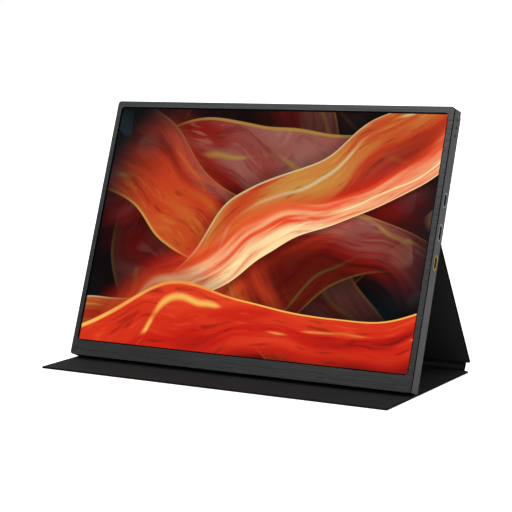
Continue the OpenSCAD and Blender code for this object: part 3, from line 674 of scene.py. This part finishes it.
def makeButton(name, spec):
    # radius and place along the axis, from the domed tip over the flange to the stem's root
    low, high = (np.array(v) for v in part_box(name))
    axis, tip, root = (low + high) / 2, high[0], low[0]
    cap, edge, stem = spec["cap"], spec["edge"], spec["stem"]
    rim, wide = tip - spec["dome"] - edge, spec["cap"] + spec["flange"]
    under = root + spec["flangeRoot"]
    over = under + spec["flange"]
    turn = np.linspace(math.pi / 2, 0, spec["edgeSteps"])
    profile = [(meshing["sliver"], tip), (cap / 2, tip - spec["dome"] / 4)]
    profile += list(zip(cap - edge + edge * np.cos(turn), rim + edge * np.sin(turn)))
    profile += [(cap, over), (wide, over), (wide, under), (stem, under), (stem, root)]
    profile.append((meshing["sliver"], root))
    radius, along = np.array(profile).T[..., None]
    angle = np.linspace(0, 2 * math.pi, spec["steps"], endpoint=False)
    ringY, ringZ = radius * np.cos(angle), radius * np.sin(angle)
    loops = np.stack((along + 0 * ringY, axis[1] + ringY, axis[2] + ringZ), axis=-1)
    return makePiece(name + "_cap", loops)


for buttonName in ("power_button", "plus_button", "minus_button"):
    settle(makeButton(buttonName, button), buttonName, finishes["button"], "button", buttonName)
print("ports and buttons done")


# Cover: four stiff panels with a turned edge, and a soft strip in every fold
cover = {
    "thickness": 1.5 * mm, "skin": 0.35 * mm, "lining": 0.3 * mm, "turnedEdge": 1.0 * mm,
    "cornerRadius": 1.2 * mm, "edge": 0.5 * mm, "groove": 0.1 * mm, "foldHalf": 0.9 * mm,
    "stripThickness": 0.8 * mm, "tuck": 0.35 * mm, "stripSteps": 15,
    "leastRadius": 0.4 * mm, "liningGap": 0.02 * mm, "edgeSteps": 5, "grooveSteps": 2,
}
foldPoint = {j["name"]: np.array(j["pos_m"]) for j in frame["joints"] if "pos_m" in j}


def alongSeat(lower, upper):
    # a panel's seat runs up from its lower fold to its upper fold, with its inner face at y = 0
    along = upper - lower
    angle = math.atan2(along[1], along[2])
    seat = leaningSeat(lower, angle)
    seat["origin"] = (seat["origin"] + cover["foldHalf"] * seat["up"]
                      - cover["thickness"] / 2 * seat["out"])
    return seat, float(np.linalg.norm(along)) - 2 * cover["foldHalf"]


legSeat, legLength = alongSeat(foldPoint["heel_fold"], foldPoint["leg_fold"])
heelSeat, heelLength = alongSeat(foldPoint["flap_fold"], foldPoint["heel_fold"])
flapLow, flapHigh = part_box("flap_skin")
flapSeat = makeSeat((0, flapLow.y, flapHigh.z), (0, 0, -1), (0, 1, 0))
flapLength = flapHigh.y - flapLow.y
panelRise = float((foldPoint["leg_fold"] - backSeat["origin"]) @ backSeat["up"]) + cover["foldHalf"]
panelSeat = dict(backSeat, origin=onSeat(backSeat, 0, 0, panelRise))
panelLow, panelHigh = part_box("back_panel_skin")
panelDrop = cover["thickness"] * -backSeat["out"][2]
panelLength = (panelHigh.z - panelLow.z - panelDrop) / backSeat["up"][2]


def makePanelSkin(name, seat, width, length):
    # from the pocket's floor over the turned edge and round the outer edge to the outer face
    groove = roundedEdge(cover["groove"], cover["grooveSteps"])
    edge = roundedEdge(cover["edge"], cover["edgeSteps"])
    sections = [(cover["turnedEdge"], cover["thickness"] - cover["skin"])]
    sections += [(cover["turnedEdge"] - inset, depth) for inset, depth in groove[::-1]]
    sections += list(edge)
    sections += [(inset, cover["thickness"] - depth) for inset, depth in edge[::-1]]
    loops = []
    for inset, depth in sections:
        radius = max(cover["cornerRadius"] - inset, cover["leastRadius"])
        flat = roundedLoop(width - 2 * inset, length - 2 * inset, radius)
        loops.append(onSeat(seat, flat[:, 0], depth, flat[:, 1] + length / 2))
    return makePiece(name, np.array(loops))


def makePanelLining(name, seat, width, length):
    # a thin plate that fills the pocket, less a gap all round
    inset = cover["turnedEdge"] + cover["liningGap"]
    loops = plateLoops(seat, width - 2 * inset, length - 2 * inset, cover["cornerRadius"] / 2,
                       cover["lining"], cover["groove"], middle=(0, length / 2),
                       edgeSteps=cover["grooveSteps"])
    return makePiece(name, loops)


coverWidth = flapHigh.x - flapLow.x
backPanelWidth = panelHigh.x - panelLow.x
heelLow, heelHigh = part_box("heel_skin")
heelWidth = heelHigh.x - heelLow.x
panels = {
    "back_panel": (panelSeat, backPanelWidth, panelLength, "monitor"),
    "leg": (legSeat, coverWidth, legLength, "leg"),
    "heel": (heelSeat, heelWidth, heelLength, "heel"),
    "flap": (flapSeat, coverWidth, flapLength, "flap"),
}
for panelName, (seat, width, length, body) in panels.items():
    skin = makePanelSkin(panelName + "_outer", seat, width, length)
    settle(skin, body, finishes["cover_skin"], "cover_skin", panelName + "_skin")
    lining = makePanelLining(panelName + "_inner", seat, width, length)
    settle(lining, body, finishes["cover_lining"], "cover_lining", panelName + "_lining")


def makeFoldStrip(name, centre, towardA, towardB, width):
    # the section follows a curve with three control points, half the thickness to each side of it
    reach = cover["foldHalf"] + cover["tuck"]
    step = np.linspace(0, 1, cover["stripSteps"])[:, None]
    start, middle, end = centre + reach * towardA, centre, centre + reach * towardB
    curve = (1 - step) ** 2 * start + 2 * step * (1 - step) * middle + step ** 2 * end
    slope = 2 * (1 - step) * (middle - start) + 2 * step * (end - middle)
    slope /= np.linalg.norm(slope, axis=1, keepdims=True)
    normal = np.stack((0 * slope[:, 0], -slope[:, 2], slope[:, 1]), axis=1)
    half = cover["stripThickness"] / 2
    section = np.concatenate((curve + half * normal, (curve - half * normal)[::-1]))
    ends = np.array((-width / 2, 0, width / 2))
    loops = section[None] + ends[:, None, None] * np.array((1, 0, 0))
    return makePiece(name, loops, sharpAngle=60), start, end


folds = {
    "back_fold": ("leg_fold", panelSeat["up"], -legSeat["up"], coverWidth, "monitor", "leg"),
    "heel_fold": ("heel_fold", legSeat["up"], -heelSeat["up"], heelWidth, "leg", "heel"),
    "flap_fold": ("flap_fold", heelSeat["up"], -flapSeat["up"], heelWidth, "heel", "flap"),
}
for foldName, (joint, towardA, towardB, width, bodyA, bodyB) in folds.items():
    place = foldPoint[joint]
    strip, start, end = makeFoldStrip(foldName + "_strip", place, towardA, towardB, width)
    settle(strip, None, finishes["cover_skin"], "cover_skin", foldName + "_web")
    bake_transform(strip)
print("cover done")


# Screen: the front film shows a lit picture inside a narrow black border
screen = {
    "border": 0.9 * mm, "depth": 1.0 * mm, "thickness": 0.2 * mm, "edge": 0.05 * mm,
    "behindBezel": 1 * mm, "cornerRadius": 1 * mm,
}


def makeScreen(spec):
    # the film reaches a little way behind the bezel above and below
    low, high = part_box("polariser_film")
    height = pictureHeight + 2 * spec["behindBezel"]
    middle = monitor["bezelBottom"] + height / 2 - spec["behindBezel"]
    loops = plateLoops(frontSeat, high.x - low.x, height, spec["cornerRadius"], spec["thickness"],
                       spec["edge"], middle=(0, middle), start=spec["depth"])
    return makePiece("screen_film", loops)


def pictureMap(piece):
    # the picture's left lower corner is 0, 0; one unit is the picture's height, both ways
    mesh = piece.data
    points = np.empty(len(mesh.vertices) * 3)
    mesh.vertices.foreach_get("co", points)
    corner = np.empty(len(mesh.loops), int)
    mesh.loops.foreach_get("vertex_index", corner)
    offset = points.reshape(-1, 3) - frontSeat["origin"]
    across = offset @ frontSeat["right"] + pictureWidth / 2
    up = offset @ frontSeat["up"] - monitor["bezelBottom"]
    flat = np.stack((across, up), axis=1)[corner] / pictureHeight
    layer = mesh.uv_layers.new(name="picture")
    layer.data.foreach_set("uv", flat.ravel())


screenFilm = makeScreen(screen)
pictureMap(screenFilm)


# The picture is a generic one: sheets of glass over points of light
transfer = {"toe": 0.04045, "toeSlope": 12.92, "lift": 0.055, "power": 2.4}


def paint(red, green, blue):
    # screen values from 0 to 255, turned into linear light
    share = np.array((red, green, blue)) / 255
    curve = ((share + transfer["lift"]) / (1 + transfer["lift"])) ** transfer["power"]
    linear = np.where(share <= transfer["toe"], share / transfer["toeSlope"], curve)
    return (*(float(v) for v in linear), 1)


# How every sheet of glass looks; a pair, or a set of four, is what a ramp takes
glass = {
    "flatten": 0.6, "stray": 0.4, "strayScale": 1.5,
    "swell": 0.25, "fullness": 0.85, "swellPitch": 2.6, "swellSeed": 1.7,
    "swayScale": 2.6, "sway": 1.6, "along": 0.9, "across": 1.9, "foldDepth": -1.9,
    "edge": (0.0, 0.008), "core": (0.05, 0.7, 1.0, 0.35),
    "deep": (0.45, 1.3), "glow": (0.0, 0.6, 1.0, 0.0), "glowShare": 0.9,
    "paleSilk": (0.55, 0.72), "paleReach": (0.75, 0.1, 0.0, 0.55),
    "darkSilk": (0.44, 0.3), "darkShare": 0.4,
    "glossSway": 0.9, "glossShift": -0.22, "glossLine": (0.0, 0.045, 1.0, 0.0),
    "glossParts": (0.42, 0.58, 0.0, 0.95),
    "rimLine": (0.02, 0.034, 1.0, 0.0), "rimParts": (0.35, 0.6, 0.5, 1.0),
    "thinning": (0.5, 1.25, 1.0, 0.0), "shadow": (-0.22, 0.0, 1.0, 0.62),
}


def makeGlassWave(spec):
    # fall is the distance below a waving crest over the sheet's height; the sheet runs from a
    # bright rim through three colours and thins out, with streaks along the crest and a shadow
    # ahead of it
    numbers = {"Turn": 0, "Offset": 0, "Bend": 0.1, "Frequency": 3, "Phase": 0,
               "Height": 0.1, "Seed": 0, "Solid": 1}
    inputs = [("Vector", "Vector", None)]
    inputs += [(label, "Float", value) for label, value in numbers.items()]
    inputs += [(label, "Color", None) for label in ("Dark", "Middle", "Light", "Rim", "Under")]
    group, given, out = newGroup("glassWave", inputs, [("Color", "Color")])
    seed = given["Seed"]
    turned = addNode(group, "VectorRotate", {"rotation_type": "Z_AXIS"},
                     Vector=given["Vector"], Angle=given["Turn"])
    run, rise = split(group, turned.outputs[0])[:2]

    # the crest is a sine that strays, and the sheet's height swells along it
    spot = join(group, run, times(group, rise, spec["flatten"]), seed)
    slow = noise(group, spot, Scale=spec["strayScale"], Detail=1.0)[0]
    wave = calc(group, "SINE", timesPlus(group, run, given["Frequency"], given["Phase"]))
    crest = calc(group, "ADD", timesPlus(group, wave, given["Bend"], given["Offset"]),
                 timesPlus(group, slow, spec["stray"], -spec["stray"] / 2))
    swellStart = times(group, seed, spec["swellSeed"])
    swell = calc(group, "SINE", timesPlus(group, run, spec["swellPitch"], swellStart))
    height = times(group, given["Height"], timesPlus(group, swell, spec["swell"], spec["fullness"]))
    fall = calc(group, "DIVIDE", calc(group, "SUBTRACT", crest, rise), height)

    # folds and silk are noise drawn out along the crest
    sway = noise(group, spot, Scale=spec["swayScale"], Detail=1.0)[0]
    drawnOut = join(group, times(group, run, spec["along"]),
                    timesPlus(group, sway, spec["sway"], times(group, fall, spec["across"])), seed)
    fold = noise(group, drawnOut, Scale=2.2, Detail=1.0, Distortion=0.2)[0]
    silk = noise(group, drawnOut, Scale=9.0, Detail=2.0, Distortion=0.3)[0]
    depth = timesPlus(group, calc(group, "SUBTRACT", fold, 0.5), spec["foldDepth"], fall)

    # the body glows near the crest, most of all in the picture's middle
    core = ramp(group, lengthOf(group, given["Vector"]), *spec["core"])
    glow = times(group, ramp(group, depth, *spec["glow"]), core)
    body = blendColour(group, ramp(group, depth, *spec["deep"]), given["Middle"], given["Dark"])
    lit = blendColour(group, times(group, glow, spec["glowShare"]), body, given["Light"])
    pale = times(group, ramp(group, silk, *spec["paleSilk"]), ramp(group, fall, *spec["paleReach"]))
    streaked = blendColour(group, pale, lit, given["Light"])
    dim = times(group, ramp(group, silk, *spec["darkSilk"]), spec["darkShare"])
    shaded = blendColour(group, dim, streaked, given["Dark"])

    # a line of gloss wanders below the crest, and the rim runs right along it
    line = timesPlus(group, sway, spec["glossSway"], spec["glossShift"])
    apart = calc(group, "ABSOLUTE", calc(group, "SUBTRACT", fall, line))
    gloss = times(group, ramp(group, apart, *spec["glossLine"]),
                  ramp(group, fold, *spec["glossParts"]))
    rim = times(group, ramp(group, fall, *spec["rimLine"]), ramp(group, sway, *spec["rimParts"]))
    rimmed = blendColour(group, rim, blendColour(group, gloss, shaded, given["Rim"]), given["Rim"])

    # the sheet lies over what is under it, which its shadow darkens
    solid = times(group, given["Solid"], ramp(group, fall, *spec["thinning"]))
    share = times(group, ramp(group, fall, *spec["edge"]), calc(group, "MAXIMUM", solid, rim))
    below = vectorCalc(group, "SCALE", given["Under"], Scale=ramp(group, fall, *spec["shadow"]))
    group.links.new(blendColour(group, share, below, rimmed), out["Color"])
    return group


bokeh = {
    "disc": (0.3, 0.52, 1.0, 0.0), "lit": (0.45, 1.0), "patches": (0.42, 0.66),
    "hue": (0.4, 0.7), "cool": paint(44, 66, 74), "warm": paint(112, 86, 68),
    "ground": (0.35, 0.7), "black": paint(4, 6, 9), "slate": paint(18, 26, 31),
}


def makeBokeh(spec):
    # soft discs of out-of-focus light over a near-black ground: cells whose centres glow
    group, given, out = newGroup("bokeh", [("Vector", "Vector", None)], [("Color", "Color")])
    cells = addNode(group, "TexVoronoi", {"voronoi_dimensions": "2D"},
                    Vector=given["Vector"], Scale=7.5, Randomness=0.9).outputs
    cloud = noise(group, given["Vector"], Scale=2.2, Detail=2.0)[0]
    brightness, tint = split(group, cells["Color"])[:2]
    lit = times(group, ramp(group, brightness, *spec["lit"]), ramp(group, cloud, *spec["patches"]))
    glow = times(group, ramp(group, cells["Distance"], *spec["disc"]), lit)
    hue = blendColour(group, ramp(group, tint, *spec["hue"]), spec["cool"], spec["warm"])
    ground = blendColour(group, ramp(group, cloud, *spec["ground"]), spec["black"], spec["slate"])
    group.links.new(blendColour(group, glow, ground, hue), out["Color"])
    return group


# Sheets of glass from the back to the front; lengths are in picture heights, turns in degrees
night, wine, ruby = paint(12, 3, 6), paint(52, 6, 8), paint(118, 12, 8)
scarlet, vermilion, amber = paint(200, 30, 16), paint(236, 74, 36), paint(246, 134, 52)
honey, cream, rose = paint(250, 190, 90), paint(255, 232, 172), paint(206, 104, 96)
petal, gilt = paint(240, 172, 156), paint(226, 182, 92)
waveKeys = ("Turn", "Offset", "Bend", "Frequency", "Phase", "Height", "Seed", "Solid",
            "Dark", "Middle", "Light", "Rim")
waves = [dict(zip(waveKeys, (math.radians(turn), *rest))) for turn, *rest in (
    (35, 0.60, 0.08, 3.1, 0.6, 0.60, 1.3, 0.7, night, wine, rose, gilt),
    (-50, 0.56, 0.10, 2.7, 1.9, 0.66, 14.2, 0.85, wine, ruby, rose, gilt),
    (118, 0.56, 0.09, 2.8, 3.3, 0.50, 21.4, 1.0, ruby, scarlet, vermilion, gilt),
    (58, 0.44, 0.10, 2.9, 4.0, 0.46, 3.9, 1.0, ruby, scarlet, petal, honey),
    (-112, 0.50, 0.10, 2.6, 1.2, 0.50, 5.2, 1.0, wine, scarlet, petal, gilt),
    (165, 0.40, 0.08, 3.0, 0.3, 0.44, 2.7, 1.0, ruby, scarlet, vermilion, gilt),
    (-12, 0.40, 0.10, 3.3, 2.4, 0.50, 4.4, 1.0, ruby, scarlet, petal, honey),
    (22, 0.22, 0.09, 3.4, 5.1, 0.36, 6.1, 1.0, wine, scarlet, petal, honey),
    (205, 0.26, 0.09, 3.2, 3.0, 0.34, 7.4, 1.0, ruby, vermilion, amber, honey),
    (-32, 0.12, 0.08, 3.6, 0.2, 0.30, 8.8, 1.0, ruby, vermilion, honey, cream),
    (148, 0.13, 0.07, 3.9, 4.4, 0.22, 11.1, 1.0, scarlet, vermilion, cream, cream),
    (-6, -0.27, 0.07, 3.5, 2.6, 0.44, 9.5, 1.0, wine, scarlet, vermilion, honey),
)]
picture = {
    "frontSheets": 3, "cornerFade": (0.48, 0.82, 1.0, 0.0),
    "border": screen["border"] / pictureHeight, "borderBlur": 1.25, "off": grey(0.0015),
}


def makeLitScreen(spec):
    # the sheets lie over one another, those behind the front ones give way to the bokeh in the
    # corners, and a black border frames them all
    material, tree, surface = newMaterial(
        "lit_screen", Base_Color=spec["off"], Roughness=0.25, Specular_IOR_Level=0.03,
        Emission_Strength=1.0)[:3]
    flat = addNode(tree, "UVMap", {"uv_map": "picture"}).outputs[0]
    half = (pictureWidth / pictureHeight / 2, 0.5, 0)
    centred = vectorCalc(tree, "SUBTRACT", flat, i1=half)
    ground = colour = useGroup(tree, makeBokeh(bokeh), Vector=centred)[0]
    corners = ramp(tree, lengthOf(tree, centred), *spec["cornerFade"])
    waveGroup = makeGlassWave(glass)
    for sheet in waves:
        if sheet is waves[-spec["frontSheets"]]:
            colour = blendColour(tree, corners, ground, colour)
        colour = useGroup(tree, waveGroup, Vector=centred, Under=colour, **sheet)[0]
    inwards = [calc(tree, "SUBTRACT", size, calc(tree, "ABSOLUTE", part))
               for size, part in zip(half, split(tree, centred)[:2])]
    framed = ramp(tree, calc(tree, "MINIMUM", *inwards), spec["border"],
                  spec["border"] * spec["borderBlur"], smooth=False)
    shown = vectorCalc(tree, "SCALE", colour, Scale=framed)
    tree.links.new(shown, surface.inputs["Emission Color"])
    return material


settle(screenFilm, "monitor", makeLitScreen(picture), "screen", "polariser_film")
print("screen done")


# Everything else that the frame carries keeps its own shape and takes its finish by slot
for nodeName, node in cadNodes.items():
    if not node.hide_render:
        node.data.materials.clear()
        node.data.materials.append(finishes[slotOf[nodeName]])


# Floor, backdrop and light
studio = {
    "floorSize": 12.0, "floorDrop": 0.2 * mm, "floorTone": grey(0.8), "floorLift": 0.75,
    "around": 1.8, "overhead": 0.6, "overheadRise": (0.3, 0.8), "white": 1.0,
    "flagTone": 0.12, "flagRise": (0.455, 0.61), "flagBack": (-0.35, 0.1),
    "key": {"place": (-0.55, -1.0, 2.1), "aim": (0, 0, 0.08), "size": (1.4, 1.0), "power": 17.0},
}


def makeFloor(spec):
    # a white sheet that the lamp and the room light, lifted to full white where it is looked at
    mesh = bpy.data.meshes.new("floor")
    corners = np.array([(-1, -1, 0), (1, -1, 0), (1, 1, 0), (-1, 1, 0)]) * spec["floorSize"] / 2
    corners[:, 2] = -spec["floorDrop"]
    mesh.from_pydata(corners.tolist(), [], [(0, 1, 2, 3)])
    floor = bpy.data.objects.new("floor", mesh)
    bpy.context.scene.collection.objects.link(floor)
    material = bpy.data.materials.new("floor_white")
    material.use_nodes = True
    tree = material.node_tree
    tree.nodes.clear()
    rays = addNode(tree, "LightPath").outputs
    mirrored = calc(tree, "MAXIMUM", rays["Is Glossy Ray"], rays["Is Transmission Ray"])
    seen = calc(tree, "MAXIMUM", rays["Is Camera Ray"], mirrored)
    matt = addNode(tree, "BsdfDiffuse", None, Color=spec["floorTone"])
    lift = times(tree, seen, spec["floorLift"])
    glow = addNode(tree, "Emission", None, Color=grey(1.0), Strength=lift)
    both = addNode(tree, "AddShader", None, i0=matt.outputs[0], i1=glow.outputs[0])
    addNode(tree, "OutputMaterial", None, Surface=both.outputs[0])
    mesh.materials.append(material)


def makeRoom(spec):
    # camera, mirrored and transmitted rays meet a white room with a dark flag low in front;
    # diffuse light is soft, and weaker from overhead
    world = bpy.data.worlds.new("room")
    bpy.context.scene.world = world
    world.use_nodes = True
    tree = world.node_tree
    tree.nodes.clear()
    rays = addNode(tree, "LightPath").outputs
    y, z = split(tree, addNode(tree, "TexCoord").outputs["Generated"])[1:]
    overhead = ramp(tree, z, *spec["overheadRise"])
    soft = ramp(tree, overhead, 0, 1, spec["around"], spec["overhead"], smooth=False)
    besideFlag = calc(tree, "MAXIMUM", ramp(tree, z, *spec["flagRise"]),
                      ramp(tree, y, *spec["flagBack"]))
    mirrored = ramp(tree, besideFlag, 0, 1, spec["flagTone"], spec["white"], smooth=False)
    glossy = times(tree, rays["Is Glossy Ray"], mirrored)
    plain = calc(tree, "MAXIMUM", rays["Is Camera Ray"], rays["Is Transmission Ray"])
    seen = calc(tree, "MAXIMUM", glossy, times(tree, plain, spec["white"]))
    diffuse = times(tree, rays["Is Diffuse Ray"], soft)
    strength = calc(tree, "MAXIMUM", seen, diffuse)
    background = addNode(tree, "Background", None, Color=grey(1.0), Strength=strength)
    addNode(tree, "OutputWorld", None, Surface=background.outputs[0])


def makeLamp(name, spec):
    # a rectangular lamp, turned from its place towards its aim
    data = bpy.data.lights.new(name, "AREA")
    data.shape, data.size, data.size_y = "RECTANGLE", *spec["size"]
    data.energy = spec["power"]
    lamp = bpy.data.objects.new(name, data)
    place = Vector(spec["place"])
    aim = (Vector(spec["aim"]) - place).to_track_quat("-Z", "Y").to_matrix().to_4x4()
    lamp.matrix_world = Matrix.Translation(place) @ aim
    bpy.context.scene.collection.objects.link(lamp)


makeFloor(studio)
makeRoom(studio)
makeLamp("key", studio["key"])
bpy.context.scene.view_settings.view_transform = "Standard"
print("studio done")
